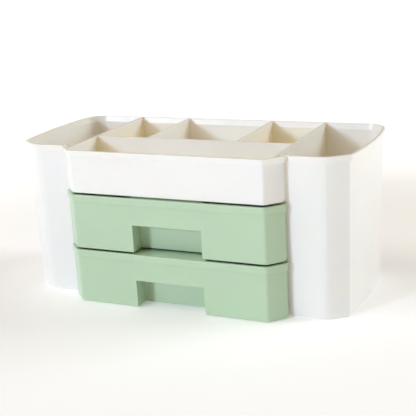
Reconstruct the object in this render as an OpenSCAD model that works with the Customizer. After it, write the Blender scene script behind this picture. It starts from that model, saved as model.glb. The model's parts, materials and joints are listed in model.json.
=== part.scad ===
// Desktop brush holder: a white moulding with two tall brush bins at the ends, open trays between
// them, and two drawers under the trays. Millimetres, +Z up, +Y to the back, origin at the middle
// of the footprint on the table.

/* [Overall] */
// Width across both brush bins, at the rim
overall_w = 318.4; // [290:0.2:380]
// Depth from the front of the tray block to the back rim
overall_d = 154.8; // [142:0.2:190]
// Height of the tray block above the drawers
block_h = 38.4; // [30:0.1:60]

/* [Walls] */
// Wall thickness of the white moulding
wall_t = 1.8; // [1.5:0.1:2.4]
// Floor thickness of bins and trays
floor_t = 2; // [1.5:0.1:3]
// Thickness of the inner dividers
divider_t = 1.8; // [1.4:0.1:2.4]
// Thickness of the walls between the drawer bay and the brush bins
bay_wall_t = 2; // [1.6:0.1:2.6]

/* [Rim] */
// Height of the band round the top rim
rim_band_h = 5.2; // [4:0.1:9]
// How far the band stands out from the bins
bin_lip = 1.9; // [1:0.1:2.6]
// How far the band stands out from the tray block and the drawer fronts
block_lip = 1.3; // [0.6:0.1:2]
// Width of the rim at its top
rim_t = 2.4; // [1.8:0.1:3]
// Radius of the rounded top edge of every band
band_r = 0.8; // [0.4:0.1:1.2]

/* [Brush bins] */
// Setback of the bins' front wall behind the front of the tray block
bin_setback = 17; // [14.8:0.1:22]
// Length in X of the slanted corner at the front of a bin
bin_corner_x = 17.6; // [12:0.1:26]
// Length in Y of the slanted corner at the front of a bin
bin_corner_y = 13.6; // [12:0.1:26]
// Radius of the bowed side wall
bin_side_r = 380; // [200:10:900]
// Distance of the widest place behind the middle
bin_bulge_y = 10; // [0:1:25]
// Radius of the back corner
bin_back_r = 19; // [8:0.5:28]
// Radius where the front wall turns into the slanted corner
bin_front_r = 22; // [6:0.5:26]
// How much each outer wall leans in on its way down
bin_draft = 2.4; // [0.5:0.1:3]
// Radius of the bottom edge
bin_foot_r = 2; // [1:0.1:4]

/* [Tray block] */
// Width of the flat front face
face_w = 180.8; // [170:0.2:184]
// Width over the slanted ends
block_w = 207.2; // [204:0.2:214]
// Depth in Y of the slanted ends
block_corner_y = 14.1; // [8:0.1:14.5]
// Radius of the front corners in plan
block_corner_r = 5; // [2:0.1:7]
// Radius of the bottom edge
block_foot_r = 1.4; // [0.6:0.1:2]
// Radius of the lower corners at the ends of the block and of the drawer fronts
end_r = 3; // [1:0.1:3.6]
// Distance from the front to the middle of the cross divider
cross_divider_y = 61.2; // [40:0.1:90]
// Spacing of the two dividers of the back compartments
back_divider_gap = 87.4; // [60:0.1:130]

/* [Drawers] */
// Width of the drawer bay between its walls
bay_w = 190.2; // [185:0.2:192]
// Height of a drawer front
drawer_h = 49.25; // [36:0.05:70]
// Gap above each drawer
drawer_gap = 1.5; // [1.3:0.05:4]
// Gap under the lower drawer's front
table_gap = 0.4; // [0.3:0.05:2]
// Wall thickness of a drawer
drawer_wall_t = 1.7; // [1.4:0.1:2.4]
// Floor thickness of a drawer
drawer_floor_t = 1.6; // [1.2:0.1:2.4]
// Height of the band round the top of a drawer
drawer_band_h = 5.8; // [4:0.1:9]
// Side clearance of a drawer in its bay
side_gap = 0.5; // [0.3:0.05:1]
// How far a drawer opens
drawer_travel = 120; // [60:1:120]

/* [Finger recess] */
// Width of the opening in the drawer front
recess_w = 65.4; // [50:0.2:100]
// Height of the opening from the bottom of the drawer front
recess_h = 25; // [18:0.1:28]
// Depth of the finger pocket from the front
recess_d = 17; // [9:0.1:18]

/* [Shelf and base] */
// Thickness of the shelf and of the base panel
panel_t = 1.6; // [1.2:0.1:2.4]
// Height of their side lips above the panel
lip_h = 6; // [4:0.1:9]
// Thickness of their side lips
lip_t = 1.4; // [1:0.1:1.5]
// Lift of the base panel off the table
base_lift = 0.3; // [0.2:0.05:1]
// Height of the skids under a drawer
skid_h = 1.4; // [1.3:0.1:2.4]
// Running gap under the skids
run_gap = 0.25; // [0.15:0.05:0.3]
// Height of the stop bead and of the catch that meets it
stop_h = 1; // [0.9:0.05:1.1]

/* [Hidden] */

WHITE = [0.95, 0.94, 0.92];
MINT = [0.72, 0.86, 0.73];

past = 1;            // how far a cut runs past the face that it opens
arc_step = 12;       // degrees of turn per facet of a rounded corner
tight_r = 0.3;       // smallest radius left on a rounded corner
foot_steps = 4;      // facets of a rounded bottom edge
band_steps = 3;      // facets of a band's rounded top edge
end_steps = 6;       // facets of a rounded lower corner at an end
end_drop = 0.02;     // how far below the bottom face such a corner starts, so that it cuts cleanly
flare_step = 0.1;    // step in the wall where the flare inside a band starts
least_flank = 0.2;   // shortest stretch left behind the slanted ends
fit_gap = 0.1;       // clearance of a snapped-in panel
bin_edge_r = 2.5;    // radius in plan where a slanted corner meets the bowed side
block_end_r = 2.5;   // radius in plan where a slanted end turns back
tray_r = 1.5;        // radius in plan of the corners inside the trays
nook_r = 0.5;        // radius in plan of the nooks beside the block
bin_floor_r = 3;     // radius round a bin's floor
tray_floor_r = 2;    // radius round a tray's floor
tub_r = 4;           // radius in plan of a drawer's back corners
tub_floor_r = 1;     // radius round a drawer's floor and bottom edge
pocket_r = 1.5;      // radius of the finger pocket's corners
end_gap = 0.8;       // clearance behind a drawer and behind its front's ends

// Heights
lower_z = table_gap;
upper_z = lower_z + drawer_h + drawer_gap;
block_z = upper_z + drawer_h + drawer_gap;
rim_z = block_z + block_h;
tray_z = block_z + floor_t;
band_z = rim_z - rim_band_h;

// Depths
front_y = -overall_d / 2;
back_y = overall_d / 2;
bin_front_y = front_y + bin_setback;
bin_wall_y = bin_front_y + bin_lip;
bin_inset = bin_lip + wall_t;
block_inset = block_lip + wall_t;
bay_back_y = back_y - bin_inset - bin_draft;
cross_y = front_y + cross_divider_y;
tray_back_y = back_y - bin_inset - bin_draft * (rim_z - tray_z) / (rim_z - bin_foot_r);

// Half widths
bay_x = bay_w / 2;
bin_x = bay_x + bay_wall_t;
block_x = block_w / 2;
face_x = face_w / 2;
bin_start_x = bay_x - past;      // the bins' form starts inside the bay, which is cut out later
band_start_x = block_x + 2.5;    // the bins' band starts beside the tray block

// Drawer parts, measured from the bottom of the drawer front
tub_lift = base_lift + panel_t + run_gap + skid_h - table_gap;
ear_back_y = bin_wall_y - end_gap;   // back of the drawer front's ends
tub_front_y = ear_back_y - 3;    // the tub starts inside the front part
tub_top_x = bay_x - side_gap;
tub_x = bay_x - fit_gap - lip_t - side_gap;
tub_back_y = bay_back_y - end_gap;
skid_w = 3;
skid_x = tub_x - 8;
skid_front_y = bin_wall_y + 5;
skid_back_y = tub_back_y - 6;
recess_back_y = front_y + recess_d;
lip_y = front_y + block_lip + drawer_wall_t;   // back of the front wall

// Stops: a drawer opens until its catch is stop_spare short of the bead, less in a short bay
stop_w = 110;
stop_t = 2;
stop_spare = 0.5;
bead_y = bin_wall_y + 3;
open_by = min(drawer_travel, tub_back_y - 1 - 2 * stop_t - stop_spare - bead_y);
catch_y = bead_y + stop_t + open_by + stop_spare;

// Snaps that hold the panels between the bay walls
snap_w = 14;
snap_h = 1.2;
snap_d = 0.6;
snap_y = [bin_wall_y + 20, (bin_wall_y + bay_back_y) / 2, bay_back_y - 12];

// ---- Outlines: a corner is [x, y, radius], corners run anticlockwise seen from above ----

function unit(v) = v / norm(v);
function point(c) = [c[0], c[1]];
function before(list, k) = list[(k + len(list) - 1) % len(list)];
function after(list, k) = list[(k + 1) % len(list)];
function inward(a, b) = let (e = unit(b - a)) [-e.y, e.x];

// The same outline, moved inwards by d
function inset(corners, d) = [
    for (k = [0 : len(corners) - 1])
        let (
            c = corners[k],
            n1 = inward(point(before(corners, k)), point(c)),
            n2 = inward(point(c), point(after(corners, k))),
            p = point(c) + d * (n1 + n2) / (1 + n1 * n2)
        )
        [p.x, p.y, c[2] == 0 ? 0 : max(c[2] - d, tight_r)]
];

// The same outline, with nothing left of x
function right_of(corners, x) = [for (c = corners) [max(c[0], x), c[1], c[2]]];

// Points of one corner: itself, or an arc that touches both edges
function corner_points(a, c, b) =
    c[2] == 0 ? [point(c)] :
    let (
        u = unit(point(a) - point(c)),
        v = unit(point(b) - point(c)),
        half = acos(u * v) / 2,
        turn = 180 - 2 * half,
        centre = point(c) + unit(u + v) * c[2] / sin(half),
        start = point(c) + u * c[2] / tan(half) - centre,
        way = u.x * v.y - u.y * v.x > 0 ? -1 : 1,
        steps = max(2, ceil(turn / arc_step))
    )
    [
        for (k = [0 : steps])
            let (t = way * turn * k / steps)
            centre + [start.x * cos(t) - start.y * sin(t), start.x * sin(t) + start.y * cos(t)]
    ];

function outline(corners) = [
    for (k = [0 : len(corners) - 1])
        each corner_points(before(corners, k), corners[k], after(corners, k))
];

// Levels [z, inset] of a rounded bottom edge, standing at z with its wall at the given inset
function foot_levels(z, r, wall_inset) = [
    for (k = [0 : foot_steps])
        let (t = 90 * k / foot_steps)
        [z + r * (1 - cos(t)), wall_inset + r * (1 - sin(t))]
];

// The same levels upside down, for a rounded edge at the top of a cut
function crown_levels(z, r, wall_inset) = [
    for (k = [foot_steps : -1 : 0])
        let (t = 90 * k / foot_steps)
        [z - r * (1 - cos(t)), wall_inset + r * (1 - sin(t))]
];

// Convex solid through the outline plan(inset) at each level [z, inset]
module moulded(plan, levels) {
    rings = [for (l = levels) [for (p = outline(plan(l[1]))) [p.x, p.y, l[0]]]];
    n = len(rings[0]);
    m = len(rings);
    hull() polyhedron(
        points = [for (r = rings) each r],
        faces = concat(
            [[for (k = [0 : n - 1]) k]],
            [for (j = [0 : m - 2], k = [0 : n - 1]) [j * n + k, (j + 1) * n + k, j * n + (k + 1) % n]],
            [
                for (j = [0 : m - 2], k = [0 : n - 1])
                    [j * n + (k + 1) % n, (j + 1) * n + k, (j + 1) * n + (k + 1) % n]
            ],
            [[for (k = [n - 1 : -1 : 0]) (m - 1) * n + k]]
        )
    );
}

// Prism through y that rounds the two lower corners of what it is intersected with
module rounded_ends(x, low, high) {
    z0 = low - end_drop;
    arc = [
        for (k = [0 : end_steps])
            let (t = 90 * k / end_steps)
            [x - end_r * (1 - sin(t)), z0 + end_r * (1 - cos(t))]
    ];
    rotate([90, 0, 0])
        linear_extrude(2 * overall_d, center = true)
            hull() both_sides() polygon(concat(arc, [[x, high], [0, high], [0, z0]]));
}

module both_sides() {
    children();
    mirror([1, 0, 0]) children();
}

// A box from one corner to the other
module block(low, high) {
    translate(low) cube(high - low);
}

// ---- Plans: each gives the corners at an inset d from the rim ----

// Rectangle between two corners
function rectangle(x0, y0, x1, y1, r) =
    function (d) inset([[x0, y0, r], [x1, y0, r], [x1, y1, r], [x0, y1, r]], d);

// Back half of the middle part, with its ends at x on both sides
function back_plan(x) = function (d)
    let (y = back_y - d)
    [[-x, 0, 0], [x, 0, 0], [x, y, 0], [-x, y, 0]];

// Right-hand brush bin, from x to its bowed side
function bin_plan(x) = function (d) right_of(inset(bin_rim(), d), x);

function bin_rim() =
    let (
        side_x = overall_w / 2,
        corner_y = bin_front_y + bin_corner_y,
        bow = function (y) side_x - bin_side_r + sqrt(bin_side_r ^ 2 - (y - bin_bulge_y) ^ 2),
        corner_x = bow(corner_y),
        side_back_y = back_y - bin_back_r - 6,
        side_steps = 8
    )
    concat(
        [
            [0, bin_front_y, 0],
            [corner_x - bin_corner_x, bin_front_y, bin_front_r],
            [corner_x, corner_y, bin_edge_r]
        ],
        [
            for (k = [1 : side_steps])
                let (y = corner_y + (side_back_y - corner_y) * k / side_steps)
                [bow(y), y, 0]
        ],
        [[bow(back_y), back_y, bin_back_r], [0, back_y, 0]]
    );

// Tray block and drawer fronts, with slanted ends that turn back to end_y
function front_plan(end_y) = function (d)
    let (
        far_y = end_y + block_w,
        flat = inset(
            [
                [-face_x, front_y, block_corner_r],
                [face_x, front_y, block_corner_r],
                [block_x, front_y + block_corner_y, block_end_r],
                [block_x, far_y, 0],
                [-block_x, far_y, 0],
                [-block_x, front_y + block_corner_y, block_end_r]
            ],
            d
        ),
        y = max(end_y, flat[2][1] + least_flank)
    )
    [flat[0], flat[1], flat[2], [flat[2][0], y, 0], [-flat[2][0], y, 0], flat[5]];

// Where the slanted end of the block stands at x, at an inset d from its rim
function slant_y(x, d) =
    let (flat = front_plan(bin_wall_y)(d))
    flat[1][1] + (x - flat[1][0]) * (flat[2][1] - flat[1][1]) / (flat[2][0] - flat[1][0]);

// Inside of the tray block between the bay walls
function front_tray_plan(rim_inset) = function (d)
    let (
        flat = front_plan(bin_wall_y)(rim_inset),
        x = flat[1][0],
        y0 = flat[1][1],
        y1 = slant_y(bay_x, rim_inset),
        y2 = cross_y - divider_t / 2
    )
    inset(
        [
            [-x, y0, block_corner_r], [x, y0, block_corner_r], [bay_x, y1, tray_r],
            [bay_x, y2, tray_r], [-bay_x, y2, tray_r], [-bay_x, y1, tray_r]
        ],
        d
    );

// Nook outside the bay wall, between the slanted end of the block and the bin
function nook_plan() = function (d)
    let (x = front_plan(bin_wall_y)(block_inset)[2][0])
    inset(
        [
            [bin_x, slant_y(bin_x, block_inset), nook_r],
            [x, slant_y(x, block_inset), nook_r],
            [x, bin_wall_y, nook_r],
            [bin_x, bin_wall_y, nook_r]
        ],
        d
    );

// ---- White moulding ----

// Levels of a band round a rim: a softened lower edge and a rounded top edge
function band_levels(z0, z1) = concat(
    [[z0, 0.2], [z0 + 0.5, 0]],
    [
        for (k = [0 : band_steps])
            let (t = 90 * k / band_steps)
            [z1 - band_r * (1 - sin(t)), band_r * (1 - cos(t))]
    ]
);

// Levels of the flare inside a band, from the wall's inset out to the rim's
function flare_levels(wall_inset) =
    [[band_z, wall_inset - flare_step], [rim_z, rim_t], [rim_z + past, rim_t]];

// Outer form of one brush bin, with its band
module bin_form() {
    moulded(
        bin_plan(bin_start_x),
        concat(foot_levels(0, bin_foot_r, bin_lip + bin_draft), [[rim_z, bin_lip]])
    );
    moulded(bin_plan(band_start_x), band_levels(band_z, rim_z));
}

// Outer form of the tray block, the back wall behind the bay and the back band
module centre_form() {
    intersection() {
        moulded(
            front_plan(bin_wall_y + wall_t / 2),
            concat(foot_levels(block_z, block_foot_r, block_lip), [[rim_z, block_lip]])
        );
        rounded_ends(block_x - block_lip, block_z, rim_z + past);
    }
    moulded(front_plan(bin_wall_y + wall_t / 2), band_levels(band_z, rim_z));
    block([-bin_x, bin_wall_y, block_z], [bin_x, past, rim_z]);
    moulded(
        back_plan(bin_start_x),
        concat(foot_levels(0, bin_foot_r, bin_lip + bin_draft), [[rim_z, bin_lip]])
    );
    moulded(back_plan(band_start_x), band_levels(band_z, rim_z));
}

module body() {
    color(WHITE) difference() {
        union() {
            both_sides() bin_form();
            centre_form();
        }
        both_sides() {
            bin_space();
            nook_space();
        }
        front_tray_space();
        back_tray_spaces();
        bay_space();
    }
}

// Inset of a bin's inner wall at the height z
function bin_inset_at(z) =
    bin_inset + bin_draft * (rim_z + past - z) / (rim_z + past - floor_t - bin_floor_r);

module bin_space() {
    moulded(
        bin_plan(bin_x),
        concat(foot_levels(floor_t, bin_floor_r, bin_inset + bin_draft), [[rim_z + past, bin_inset]])
    );
    flare = flare_levels(bin_inset_at(band_z));
    moulded(bin_plan(band_start_x + wall_t), flare);
    moulded(function (d) rectangle(bin_x, 0, band_start_x + 2 * wall_t, back_y - d, 0)(0), flare);
}

module nook_space() {
    moulded(nook_plan(), [[tray_z, 0], [rim_z + past, 0]]);
}

module front_tray_space() {
    moulded(
        front_tray_plan(block_inset),
        concat(foot_levels(tray_z, tray_floor_r, 0), [[rim_z + past, 0]])
    );
    moulded(function (d) front_tray_plan(d)(0), flare_levels(block_inset));
}

module back_tray_spaces() {
    inner_x = back_divider_gap / 2;
    half_t = divider_t / 2;
    edges = [-bay_x, -inner_x - half_t, -inner_x + half_t, inner_x - half_t, inner_x + half_t, bay_x];
    y0 = cross_y + half_t;
    for (k = [0 : 2]) {
        x0 = edges[2 * k];
        x1 = edges[2 * k + 1];
        moulded(
            rectangle(x0, y0, x1, tray_back_y, tray_r),
            concat(foot_levels(tray_z, tray_floor_r, 0), [[rim_z + past, 0]])
        );
        moulded(
            function (d) rectangle(x0, y0, x1, back_y - d, tray_r)(0),
            flare_levels(back_y - tray_back_y)
        );
    }
}

// Drawer bay: open to the front and, until the base panel is in, at the bottom
module bay_space() {
    block([-bay_x, front_y, -past], [bay_x, bay_back_y, block_z]);
    both_sides() {
        snap_pockets(shelf_top());
        snap_pockets(base_top());
    }
}

// ---- Shelf and base panel ----

function base_top() = base_lift + panel_t;
function shelf_top() = upper_z + tub_lift - skid_h - run_gap;
function snap_z(top) = top + lip_h - 2.5;

module snap_pockets(top) {
    for (y = snap_y)
        block(
            [bay_x - past, y - snap_w / 2 - fit_gap, snap_z(top) - fit_gap],
            [bay_x + snap_d, y + snap_w / 2 + fit_gap, snap_z(top) + snap_h + fit_gap]
        );
}

// A panel that snaps between the bay walls and carries a drawer, with side lips and a stop bead
module runner_panel(top) {
    x = bay_x - fit_gap;
    y0 = bin_wall_y + bin_draft;
    y1 = bay_back_y - fit_gap;
    block([-x, y0, top - panel_t], [x, y1, top]);
    both_sides() {
        block([x - lip_t, y0, top], [x, y1, top + lip_h]);
        for (y = snap_y)
            block([x, y - snap_w / 2, snap_z(top)], [x + snap_d, y + snap_w / 2, snap_z(top) + snap_h]);
    }
    block([-stop_w / 2, bead_y, top], [stop_w / 2, bead_y + stop_t, top + stop_h]);
}

module drawer_shelf() {
    color(WHITE) runner_panel(shelf_top());
}

module base_panel() {
    color(WHITE) runner_panel(base_top());
}

// ---- Drawers ----

module drawer_form() {
    band = band_levels(drawer_h - drawer_band_h, drawer_h);
    intersection() {
        moulded(
            front_plan(ear_back_y),
            concat(foot_levels(0, tub_floor_r, block_lip), [[drawer_h, block_lip]])
        );
        rounded_ends(block_x - block_lip, 0, drawer_h + past);
    }
    moulded(front_plan(ear_back_y), band);
    moulded(
        rectangle(-tub_x, tub_front_y, tub_x, tub_back_y, tub_r),
        concat(foot_levels(tub_lift, tub_floor_r, 0), [[drawer_h, 0]])
    );
    moulded(rectangle(-tub_top_x, tub_front_y, tub_top_x, tub_back_y, tub_r), band);
}

module drawer_space() {
    floor_z = tub_lift + drawer_floor_t;
    t = drawer_wall_t;
    moulded(
        front_plan(ear_back_y - t),
        concat(foot_levels(floor_z, tub_floor_r, block_lip + t), [[drawer_h + past, block_lip + t]])
    );
    moulded(
        rectangle(-tub_x + t, tub_front_y - 3, tub_x - t, tub_back_y - t, tub_r - t),
        concat(foot_levels(floor_z, tub_floor_r, 0), [[drawer_h + past, 0]])
    );
}

// Hollow under the drawer's front part, inside its skirt
module skirt_space() {
    d = block_lip + drawer_wall_t;
    moulded(front_plan(ear_back_y - drawer_wall_t), [[-past, d], [tub_lift, d]]);
}

// Pocket for the fingers, open at the bottom, that rises behind the front's lower edge
module finger_pocket() {
    moulded(
        rectangle(-recess_w / 2, lip_y, recess_w / 2, recess_back_y, pocket_r),
        concat([[-past, 0]], crown_levels(drawer_h - drawer_wall_t, pocket_r, 0))
    );
    block([-recess_w / 2, front_y - past, -past], [recess_w / 2, lip_y + 2 * pocket_r, recess_h]);
}

module pocket_walls() {
    x = recess_w / 2 + drawer_wall_t;
    block([-x, lip_y - drawer_wall_t / 4, 0], [x, recess_back_y + drawer_wall_t, drawer_h]);
}

module drawer(z) {
    translate([0, 0, z]) {
        difference() {
            union() {
                difference() {
                    drawer_form();
                    drawer_space();
                    skirt_space();
                }
                pocket_walls();
            }
            finger_pocket();
        }
        both_sides()
            block([skid_x, skid_front_y, tub_lift - skid_h], [skid_x + skid_w, skid_back_y, tub_lift]);
        block([-stop_w / 2, catch_y, tub_lift - stop_h], [stop_w / 2, catch_y + stop_t, tub_lift]);
    }
}

module upper_drawer() {
    color(MINT) drawer(upper_z);
}

module lower_drawer() {
    color(MINT) drawer(lower_z);
}

body();
drawer_shelf();
base_panel();
upper_drawer();
lower_drawer();
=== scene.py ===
"""Looks of a desktop brush holder: a glossy warm-white moulding, its snapped-in panels, two mint drawers."""

import json
import math

import bpy
from mathutils import Matrix, Vector

bl_info = {
    "name": "Brush Holder With Drawers",
    "version": (1, 0, 0),
    "blender": (4, 5, 0),
    "location": "3D View > Sidebar > Brush Holder",
    "description": "Dresses a brush holder's mouldings in glossy plastic and lights it for a product picture",
    "category": "Object",
}

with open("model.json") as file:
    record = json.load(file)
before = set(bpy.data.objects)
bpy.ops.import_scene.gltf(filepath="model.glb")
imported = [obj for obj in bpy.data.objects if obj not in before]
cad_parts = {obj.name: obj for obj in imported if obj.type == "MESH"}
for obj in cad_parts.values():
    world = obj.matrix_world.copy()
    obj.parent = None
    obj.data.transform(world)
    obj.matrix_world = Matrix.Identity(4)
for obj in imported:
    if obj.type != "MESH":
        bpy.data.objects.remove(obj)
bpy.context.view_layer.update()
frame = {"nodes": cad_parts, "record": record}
SLOT_COLOURS = {m["slot"]: tuple(m["base_color"][:3]) for m in frame["record"]["materials"]}


# ---- Settings ----


class MouldingSettings(bpy.types.PropertyGroup):
    """The white moulding and the panels inside it"""

    colour: bpy.props.FloatVectorProperty(
        name="Colour",
        description="Colour of the white plastic",
        subtype="COLOR",
        size=3,
        min=0,
        max=1,
        default=SLOT_COLOURS["white_plastic"],
    )
    # Painted shade: this warm cream is painted into the deep corners of the bins and trays, in place of the
    # shade and bounced light there
    painted_shade_colour: bpy.props.FloatVectorProperty(
        name="Painted shade colour",
        description="Warm cream painted as shade into the deep corners of the white plastic",
        subtype="COLOR",
        size=3,
        min=0,
        max=1,
        default=(1.0, 0.89, 0.68),
    )
    # Reach of the painted shade in the corners of the white plastic
    painted_shade_reach: bpy.props.FloatProperty(
        name="Painted shade reach",
        description="How near other walls have to be for a corner of the bins and trays to get painted shade",
        subtype="DISTANCE",
        unit="LENGTH",
        min=0,
        max=0.2,
        default=0.085,
    )
    translucency: bpy.props.FloatProperty(
        name="Translucency",
        description="Share of the light that spreads inside its thin walls",
        subtype="FACTOR",
        min=0,
        max=1,
        default=0.45,
    )
    roughness: bpy.props.FloatProperty(
        name="Roughness",
        description="Middle roughness of its gloss",
        subtype="FACTOR",
        min=0,
        max=1,
        default=0.34,
    )
    edge: bpy.props.FloatProperty(
        name="Edge radius",
        description="Radius of the softened edges",
        subtype="DISTANCE",
        unit="LENGTH",
        min=0,
        max=0.002,
        default=0.0006,
    )


class DrawerSettings(bpy.types.PropertyGroup):
    """The two drawers"""

    colour: bpy.props.FloatVectorProperty(
        name="Colour",
        description="Colour of the mint plastic",
        subtype="COLOR",
        size=3,
        min=0,
        max=1,
        default=(0.51, 0.68, 0.49),
    )
    # Painted shade: this olive green is painted into the deep corners of a drawer, in place of the shade
    # there
    painted_shade_colour: bpy.props.FloatVectorProperty(
        name="Painted shade colour",
        description="Olive green painted as shade into the deep corners of a drawer's mint plastic",
        subtype="COLOR",
        size=3,
        min=0,
        max=1,
        default=(0.42, 0.5, 0.3),
    )
    # Reach of the painted shade in a drawer's corners
    painted_shade_reach: bpy.props.FloatProperty(
        name="Painted shade reach",
        description="How near other walls have to be for a corner of a drawer to get painted shade",
        subtype="DISTANCE",
        unit="LENGTH",
        min=0,
        max=0.2,
        default=0.03,
    )
    translucency: bpy.props.FloatProperty(
        name="Translucency",
        description="Share of the light that spreads inside its thin walls",
        subtype="FACTOR",
        min=0,
        max=1,
        default=0.3,
    )
    roughness: bpy.props.FloatProperty(
        name="Roughness",
        description="Middle roughness of its gloss",
        subtype="FACTOR",
        min=0,
        max=1,
        default=0.36,
    )
    edge: bpy.props.FloatProperty(
        name="Edge radius",
        description="Radius of the softened edges",
        subtype="DISTANCE",
        unit="LENGTH",
        min=0,
        max=0.002,
        default=0.0008,
    )


class StageSettings(bpy.types.PropertyGroup):
    """Table, lights and camera"""

    table_colour: bpy.props.FloatVectorProperty(
        name="Table colour",
        description="Colour of the plain pale table",
        subtype="COLOR",
        size=3,
        min=0,
        max=1,
        default=(0.95, 0.96, 0.98),
    )
    table_glow: bpy.props.FloatProperty(
        name="Table glow",
        description="Light that the table gives off under the holder",
        min=0,
        max=2,
        default=0.2,
    )
    backdrop_glow: bpy.props.FloatProperty(
        name="Backdrop glow",
        description="Light that the table gives off far from the holder",
        min=0,
        max=2,
        default=0.42,
    )
    key_light: bpy.props.FloatProperty(
        name="Key light",
        description="Strength of the low light from the front left",
        min=0,
        max=10,
        default=1.47,
    )
    side_light: bpy.props.FloatProperty(
        name="Side light",
        description="Strength of the high soft light from the left",
        min=0,
        max=10,
        default=0.66,
    )
    fill_light: bpy.props.FloatProperty(
        name="Fill light",
        description="Strength of the soft light from the right and behind",
        min=0,
        max=10,
        default=1.58,
    )
    top_light: bpy.props.FloatProperty(
        name="Top light",
        description="Strength of the wide light from above",
        min=0,
        max=10,
        default=0.3,
    )
    room_light: bpy.props.FloatProperty(
        name="Room light",
        description="Strength of the warm light from all round",
        min=0,
        max=3,
        default=0.27,
    )
    lens: bpy.props.FloatProperty(
        name="Lens",
        description="Focal length of the camera in millimetres",
        subtype="DISTANCE_CAMERA",
        min=1,
        default=80.6,
    )


# ---- Nodes ----

# Places of a Mix node's sockets while it mixes colours. Its sockets for other kinds have the same names
MIX_SHARE = 0
MIX_FIRST = 6
MIX_SECOND = 7
MIX_RESULT = 2

# Noise seldom leaves these two values, so what it drives is spread between them
NOISE_LOW = 0.3
NOISE_HIGH = 0.7


def set_inputs(tree, node, inputs):
    """Gives a node its inputs. A value that is another node's output is linked, any other is set."""
    for socket, value in inputs.items():
        if isinstance(value, bpy.types.NodeSocket):
            tree.links.new(value, node.inputs[socket])
        else:
            node.inputs[socket].default_value = value


def add_node(tree, kind, label, inputs):
    """Adds a labelled node with its inputs."""
    node = tree.nodes.new(kind)
    node.label = label
    set_inputs(tree, node, inputs)
    return node


def noise(tree, label, scale, detail):
    """Cloudy value that is fixed to the piece: its scale is per metre, and more detail breaks it up more."""
    place = add_node(tree, "ShaderNodeTexCoord", "Place", {})
    inputs = {"Vector": place.outputs["Object"], "Scale": scale, "Detail": detail}
    return add_node(tree, "ShaderNodeTexNoise", label, inputs).outputs["Fac"]


def spread(tree, label, value, low, high):
    """Noise as a value between low and high."""
    inputs = {"Value": value, "From Min": NOISE_LOW, "From Max": NOISE_HIGH, "To Min": low, "To Max": high}
    return add_node(tree, "ShaderNodeMapRange", label, inputs).outputs["Result"]


def ease(tree, label, value, start, end, low, high):
    """Low at start and high at end, with a soft change between the two."""
    inputs = {"Value": value, "From Min": start, "From Max": end, "To Min": low, "To Max": high}
    ramp = add_node(tree, "ShaderNodeMapRange", label, inputs)
    ramp.interpolation_type = "SMOOTHSTEP"
    return ramp.outputs["Result"]


def blend(tree, label, share, first, second):
    """Colour between the first and the second, by the share of the second."""
    mix = add_node(tree, "ShaderNodeMix", label, {})
    mix.data_type = "RGBA"
    set_inputs(tree, mix, {MIX_SHARE: share, MIX_FIRST: first, MIX_SECOND: second})
    return mix.outputs[MIX_RESULT]


# ---- Plastics ----

# Resin that flowed unevenly: the palest and the densest parts of a flow, as shares of red, green and blue
PALE_FLOW = (1.015, 1.015, 1.015)
DENSE_FLOW = (0.985, 0.982, 0.975)

# Share of a spot's surroundings that is open where the painted shade starts to show, and where it is full
PAINTED_SHADE_STARTS = 0.5
PAINTED_SHADE_IS_FULL = 0.15

# How much the roughness falls on polished places and rises on handled ones
POLISHED = 0.05
HANDLED = 0.07


def tinted(colour, shares):
    """A colour times its shares of red, green and blue, as a node takes it."""
    return (*(min(1, part * share) for part, share in zip(colour, shares)), 1)


def resin_tone_and_painted_shade(tree, colour, painted_shade_colour, painted_shade_reach):
    """Colour of resin that flowed unevenly, with painted shade: a warmer, darker tone painted into its deep
    corners, standing in for light that has bounced many times.
    """
    flow = spread(tree, "Flow spread", noise(tree, "Resin flow", scale=14, detail=3), low=0, high=1)
    clouds = blend(tree, "Flow clouds", flow, tinted(colour, PALE_FLOW), tinted(colour, DENSE_FLOW))
    # Painted shade: ambient occlusion within the reach blends the colour toward the darker warm tone in
    # corners and recesses
    openness = add_node(tree, "ShaderNodeAmbientOcclusion", "Corner openness", {"Distance": painted_shade_reach})
    openness.samples = 8
    openness.only_local = True
    painted_shade_share = ease(
        tree, "Share of painted shade", openness.outputs["AO"], start=PAINTED_SHADE_STARTS, end=PAINTED_SHADE_IS_FULL, low=0, high=1
    )
    return blend(tree, "Painted shade tone", painted_shade_share, clouds, (*painted_shade_colour, 1))


def handled_gloss(tree, roughness):
    """Roughness of gloss that is a little duller where hands have been."""
    smudges = noise(tree, "Smudges", scale=38, detail=4)
    return spread(tree, "Gloss spread", smudges, low=roughness - POLISHED, high=roughness + HANDLED)


def moulded_surface(tree):
    """Slow waves from cooling under a fine orange peel."""
    slow = noise(tree, "Slow waves", scale=22, detail=1)
    waves = add_node(
        tree, "ShaderNodeBump", "Cooling waves", {"Height": slow, "Strength": 0.12, "Distance": 0.0006}
    )
    fine = noise(tree, "Fine peel", scale=620, detail=2)
    peel = add_node(
        tree,
        "ShaderNodeBump",
        "Orange peel",
        {"Height": fine, "Strength": 0.1, "Distance": 0.00008, "Normal": waves.outputs["Normal"]},
    )
    return peel.outputs["Normal"]


def gloss_plastic(name, look, roughness, painted_shade_reach):
    """Moulded gloss plastic that lets light spread inside its walls, red the farthest."""
    plastic = bpy.data.materials.new(name)
    plastic.use_nodes = True
    plastic.diffuse_color = (*look.colour, 1)
    tree = plastic.node_tree
    inputs = {
        # Base colour carries the painted shade of the deep corners
        "Base Color": resin_tone_and_painted_shade(tree, look.colour, look.painted_shade_colour, painted_shade_reach),
        "Roughness": handled_gloss(tree, roughness),
        "Normal": moulded_surface(tree),
        "IOR": 1.49,
        "Subsurface Weight": look.translucency,
        "Subsurface Radius": (1.0, 0.72, 0.42),
        "Subsurface Scale": 0.0045,
        "Coat Weight": 0.12,
        "Coat Roughness": 0.18,
    }
    set_inputs(tree, tree.nodes["Principled BSDF"], inputs)
    return plastic


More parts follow.
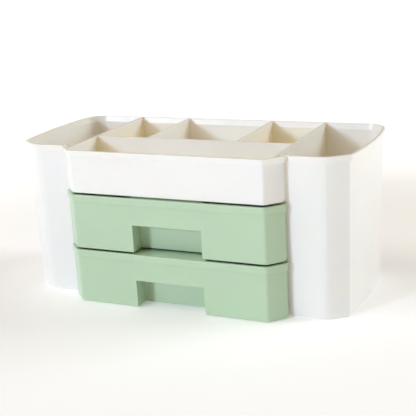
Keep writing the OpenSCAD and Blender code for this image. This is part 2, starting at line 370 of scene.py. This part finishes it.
# ---- Mouldings ----

# Corners nearer than this, in metres, are one corner. Faces that meet at less than this angle are one face
JOIN_WITHIN = 0.000002
FLAT_WITHIN = math.radians(0.02)

# An edge that turns by more than this gets a radius, in this many steps
SOFTEN_OVER = math.radians(32)
SOFT_STEPS = 3

# An edge that turns by more than this stays a crisp line in the shading
CRISP_OVER = math.radians(36)

# How strongly the shading of a radius follows the large faces beside it, out of 100
LARGE_FACE_WEIGHT = 80

# Shelf and base panel: how much rougher than the moulding, share of its edge radius, and the reach of their
# painted shade
PANEL_DULLING = 0.05
PANEL_EDGE_SHARE = 0.5
PANEL_PAINTED_SHADE_REACH = 0.03


def dress(node, plastic, edge):
    """Gives a moulded node its plastic and soft edges. The node's own mesh stays as it is."""
    part = frame["nodes"][node]
    for coat in part.material_slots:
        coat.link = "OBJECT"
        coat.material = plastic
    weld = part.modifiers.new("Join facets", "WELD")
    weld.merge_threshold = JOIN_WITHIN
    flat = part.modifiers.new("Flat faces", "DECIMATE")
    flat.decimate_type = "DISSOLVE"
    flat.angle_limit = FLAT_WITHIN
    soft = part.modifiers.new("Soft edges", "BEVEL")
    soft.width = edge
    soft.segments = SOFT_STEPS
    soft.limit_method = "ANGLE"
    soft.angle_limit = SOFTEN_OVER
    shade = part.modifiers.new("Smooth arcs", "NODES")
    shade.node_group = smooth_arcs()
    even = part.modifiers.new("Even faces", "WEIGHTED_NORMAL")
    even.keep_sharp = True
    even.weight = LARGE_FACE_WEIGHT


def smooth_arcs():
    """Node group that shades faces smooth, except across the edges that stay crisp. All pieces share it."""
    group = bpy.data.node_groups.get("Smooth arcs")
    if group:
        return group
    group = bpy.data.node_groups.new("Smooth arcs", "GeometryNodeTree")
    for way in ("INPUT", "OUTPUT"):
        group.interface.new_socket("Geometry", in_out=way, socket_type="NodeSocketGeometry")
    start = add_node(group, "NodeGroupInput", "Piece", {})
    end = add_node(group, "NodeGroupOutput", "Shaded piece", {})
    turn = add_node(group, "GeometryNodeInputMeshEdgeAngle", "Turn", {})
    crisp = add_node(
        group, "FunctionNodeCompare", "Crisp edges", {"A": turn.outputs["Unsigned Angle"], "B": CRISP_OVER}
    )
    crisp.operation = "GREATER_THAN"
    faces = add_node(
        group,
        "GeometryNodeSetShadeSmooth",
        "Smooth faces",
        {"Geometry": start.outputs["Geometry"], "Shade Smooth": True},
    )
    faces.domain = "FACE"
    edges = add_node(
        group,
        "GeometryNodeSetShadeSmooth",
        "Crisp lines",
        {"Geometry": faces.outputs["Geometry"], "Selection": crisp.outputs["Result"], "Shade Smooth": False},
    )
    edges.domain = "EDGE"
    set_inputs(group, end, {"Geometry": edges.outputs["Geometry"]})
    return group


class BRUSHHOLDER_OT_moulding(bpy.types.Operator):
    """Dress the white moulding with its bins and trays"""

    bl_idname = "brushholder.moulding"
    bl_label = "White Moulding"

    def execute(self, context):
        look = context.scene.brush_holder_moulding
        plastic = gloss_plastic("Warm white plastic", look, look.roughness, look.painted_shade_reach)
        dress("body", plastic, look.edge)
        return {"FINISHED"}


class BRUSHHOLDER_OT_panels(bpy.types.Operator):
    """Dress the shelf and the base panel that carry the drawers"""

    bl_idname = "brushholder.panels"
    bl_label = "Shelf and Base Panel"

    def execute(self, context):
        look = context.scene.brush_holder_moulding
        plastic = gloss_plastic("Panel plastic", look, look.roughness + PANEL_DULLING, PANEL_PAINTED_SHADE_REACH)
        for node in ("drawer_shelf", "base_panel"):
            dress(node, plastic, PANEL_EDGE_SHARE * look.edge)
        return {"FINISHED"}


class BRUSHHOLDER_OT_drawers(bpy.types.Operator):
    """Dress the upper and the lower drawer"""

    bl_idname = "brushholder.drawers"
    bl_label = "Drawers"

    def execute(self, context):
        look = context.scene.brush_holder_drawers
        plastic = gloss_plastic("Mint plastic", look, look.roughness, look.painted_shade_reach)
        for node in ("upper_drawer", "lower_drawer"):
            dress(node, plastic, look.edge)
        return {"FINISHED"}


# ---- Stage ----

# Table top: its radius in metres, and how many corners its rim has
TABLE_RADIUS = 14
TABLE_CORNERS = 96

# Distances from the middle of the table, in metres, between which its glow changes
GLOW_CHANGES_FROM = 0.2
GLOW_CHANGES_TO = 0.7

# Distance from the holder at which the lamps are shown, in metres. Their light comes from far away
LAMP_DISTANCE = 2

# Camera, fitted to the picture: radians round to the right from the front, radians up, radians that it is
# turned about its own axis, and metres to the point that it looks at
CAMERA_TURN = 0.4284
CAMERA_RISE = 0.2817
CAMERA_ROLL = -0.0542
CAMERA_DISTANCE = 0.85715
CAMERA_TARGET = Vector((0.00551, 0.0003, 0.07257))


def direction(turn, rise):
    """Unit vector from the holder, by radians round to the right from the front and radians up."""
    return Vector((math.sin(turn) * math.cos(rise), -math.cos(turn) * math.cos(rise), math.sin(rise)))


def pale_surface(look):
    """Matt pale surface with a fine grain that gives off more light away from the holder."""
    pale = bpy.data.materials.new("Pale table")
    pale.use_nodes = True
    tree = pale.node_tree
    place = add_node(tree, "ShaderNodeTexCoord", "Place", {})
    away = add_node(tree, "ShaderNodeVectorMath", "Distance", {"Vector": place.outputs["Object"]})
    away.operation = "LENGTH"
    glow = ease(
        tree,
        "Glow",
        away.outputs["Value"],
        start=GLOW_CHANGES_FROM,
        end=GLOW_CHANGES_TO,
        low=look.table_glow,
        high=look.backdrop_glow,
    )
    grain = add_node(tree, "ShaderNodeTexNoise", "Grain", {"Scale": 400})
    relief = add_node(
        tree,
        "ShaderNodeBump",
        "Grain relief",
        {"Height": grain.outputs["Fac"], "Strength": 0.04, "Distance": 0.0002},
    )
    inputs = {
        "Base Color": (*look.table_colour, 1),
        "Roughness": 0.7,
        "Specular IOR Level": 0.2,
        "Emission Color": (0.92, 0.97, 1, 1),
        "Emission Strength": glow,
        "Normal": relief.outputs["Normal"],
    }
    set_inputs(tree, tree.nodes["Principled BSDF"], inputs)
    return pale


def table(surface):
    """Plain table top, wide enough to run past every view."""
    turns = [math.tau * corner / TABLE_CORNERS for corner in range(TABLE_CORNERS)]
    rim = [(TABLE_RADIUS * math.cos(turn), TABLE_RADIUS * math.sin(turn), 0) for turn in turns]
    mesh = bpy.data.meshes.new("Table top")
    mesh.from_pydata(rim, [], [tuple(range(TABLE_CORNERS))])
    mesh.materials.append(surface)
    top = bpy.data.objects.new("Table top", mesh)
    bpy.context.scene.collection.objects.link(top)


def soft_light(name, strength, turn, rise, width, colour):
    """Far soft light: degrees round to the right from the front, degrees up, and how wide it looks."""
    lamp = bpy.data.lights.new(name, "SUN")
    lamp.angle = math.radians(width)
    lamp.energy = strength
    lamp.color = colour
    light = bpy.data.objects.new(name, lamp)
    place = direction(math.radians(turn), math.radians(rise))
    light.location = place * LAMP_DISTANCE
    light.rotation_euler = place.to_track_quat("Z", "Y").to_euler()
    bpy.context.scene.collection.objects.link(light)


def room(scene, strength, colour):
    """Even light from all round, and colours shown as they are."""
    world = bpy.data.worlds.new("Bright room")
    scene.world = world
    world.use_nodes = True
    sky = world.node_tree.nodes["Background"]
    sky.inputs["Color"].default_value = (*colour, 1)
    sky.inputs["Strength"].default_value = strength
    scene.view_settings.view_transform = "Standard"
    scene.view_settings.look = "None"


def camera(lens):
    """Camera at the picture's angle: to the right of the front and a little above, rolled slightly."""
    data = bpy.data.cameras.new("Camera")
    data.sensor_width = 36
    data.lens = lens
    data.clip_start = 0.05
    data.clip_end = 60
    view = bpy.data.objects.new("Camera", data)
    back = direction(CAMERA_TURN, CAMERA_RISE)
    right = Vector((0, 0, 1)).cross(back).normalized()
    up = back.cross(right)
    across = right * math.cos(CAMERA_ROLL) + up * math.sin(CAMERA_ROLL)
    upward = up * math.cos(CAMERA_ROLL) - right * math.sin(CAMERA_ROLL)
    facing = Matrix((across, upward, back)).transposed()
    view.matrix_world = Matrix.Translation(CAMERA_TARGET + back * CAMERA_DISTANCE) @ facing.to_4x4()
    bpy.context.scene.collection.objects.link(view)
    return view


class BRUSHHOLDER_OT_stage(bpy.types.Operator):
    """Set the table, the soft lights and the camera"""

    bl_idname = "brushholder.stage"
    bl_label = "Stage"

    def execute(self, context):
        look = context.scene.brush_holder_stage
        table(pale_surface(look))
        soft_light("Key light", look.key_light, turn=-30, rise=18, width=10, colour=(0.69, 0.82, 1))
        soft_light("Side light", look.side_light, turn=-60, rise=50, width=30, colour=(0.97, 0.97, 0.95))
        soft_light("Fill light", look.fill_light, turn=120, rise=25, width=30, colour=(0.85, 0.94, 0.97))
        soft_light("Top light", look.top_light, turn=0, rise=75, width=40, colour=(1, 0.95, 0.88))
        room(context.scene, look.room_light, colour=(1, 0.7, 0.4))
        context.scene.camera = camera(look.lens)
        return {"FINISHED"}


# ---- Panel ----


class BRUSHHOLDER_PT_panel(bpy.types.Panel):
    """Lists the steps and their settings"""

    bl_idname = "BRUSHHOLDER_PT_panel"
    bl_label = "Brush Holder"
    bl_space_type = "VIEW_3D"
    bl_region_type = "UI"
    bl_category = "Brush Holder"

    def draw(self, context):
        groups = (
            ("brush_holder_moulding", ("brushholder.moulding", "brushholder.panels")),
            ("brush_holder_drawers", ("brushholder.drawers",)),
            ("brush_holder_stage", ("brushholder.stage",)),
        )
        for settings, steps in groups:
            box = self.layout.box()
            look = getattr(context.scene, settings)
            for name in look.__annotations__:
                box.prop(look, name)
            for step in steps:
                box.operator(step)


CLASSES = (
    MouldingSettings,
    DrawerSettings,
    StageSettings,
    BRUSHHOLDER_OT_moulding,
    BRUSHHOLDER_OT_panels,
    BRUSHHOLDER_OT_drawers,
    BRUSHHOLDER_OT_stage,
    BRUSHHOLDER_PT_panel,
)


def register():
    for each in CLASSES:
        bpy.utils.register_class(each)
    bpy.types.Scene.brush_holder_moulding = bpy.props.PointerProperty(type=MouldingSettings)
    bpy.types.Scene.brush_holder_drawers = bpy.props.PointerProperty(type=DrawerSettings)
    bpy.types.Scene.brush_holder_stage = bpy.props.PointerProperty(type=StageSettings)


def unregister():
    del bpy.types.Scene.brush_holder_stage
    del bpy.types.Scene.brush_holder_drawers
    del bpy.types.Scene.brush_holder_moulding
    for each in reversed(CLASSES):
        bpy.utils.unregister_class(each)


def main():
    register()
    bpy.ops.brushholder.moulding()
    bpy.ops.brushholder.panels()
    bpy.ops.brushholder.drawers()
    bpy.ops.brushholder.stage()


if __name__ == "__main__":
    main()
